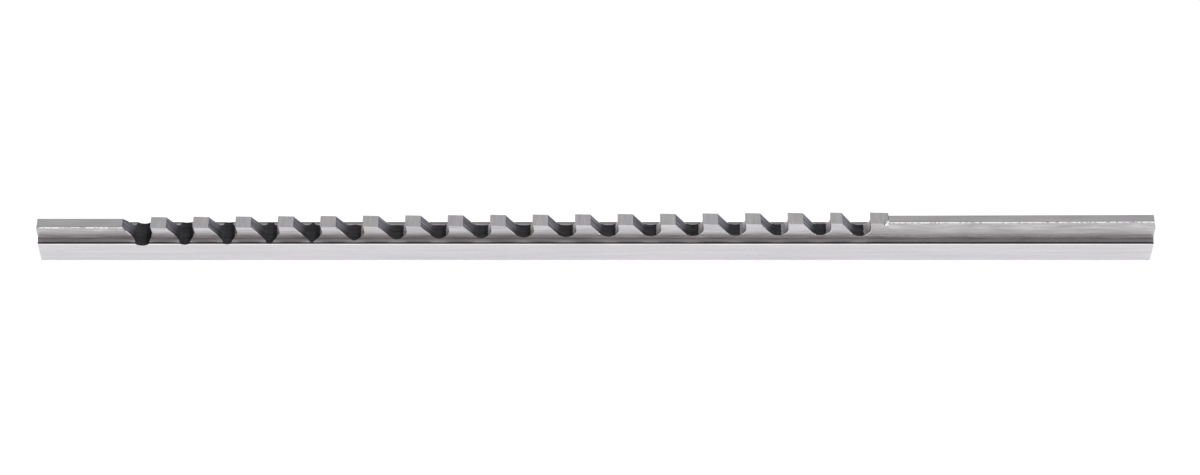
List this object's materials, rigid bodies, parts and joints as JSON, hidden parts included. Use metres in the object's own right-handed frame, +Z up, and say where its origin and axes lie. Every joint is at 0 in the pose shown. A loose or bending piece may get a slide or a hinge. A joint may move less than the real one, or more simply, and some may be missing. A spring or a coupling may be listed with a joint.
{
  "type": "keyway broach",
  "caption": "Slim push-type keyway broach: flat-backed square body with a narrow toothed rib that rises from a plain pilot to a plain push end.",
  "frame": {"origin": "middle of the length and width, on the flat back", "axes": "+X along the tool to the push end, +Z up out of the back through the teeth, +Y across the body"},
  "size_m": [0.127, 0.0032, 0.006],
  "materials": {
    "ground_steel": "ground high speed steel with fine grinding lines"
  },
  "bodies": {
    "root": {"broach": "ground_steel"}
  },
  "joints": []
}
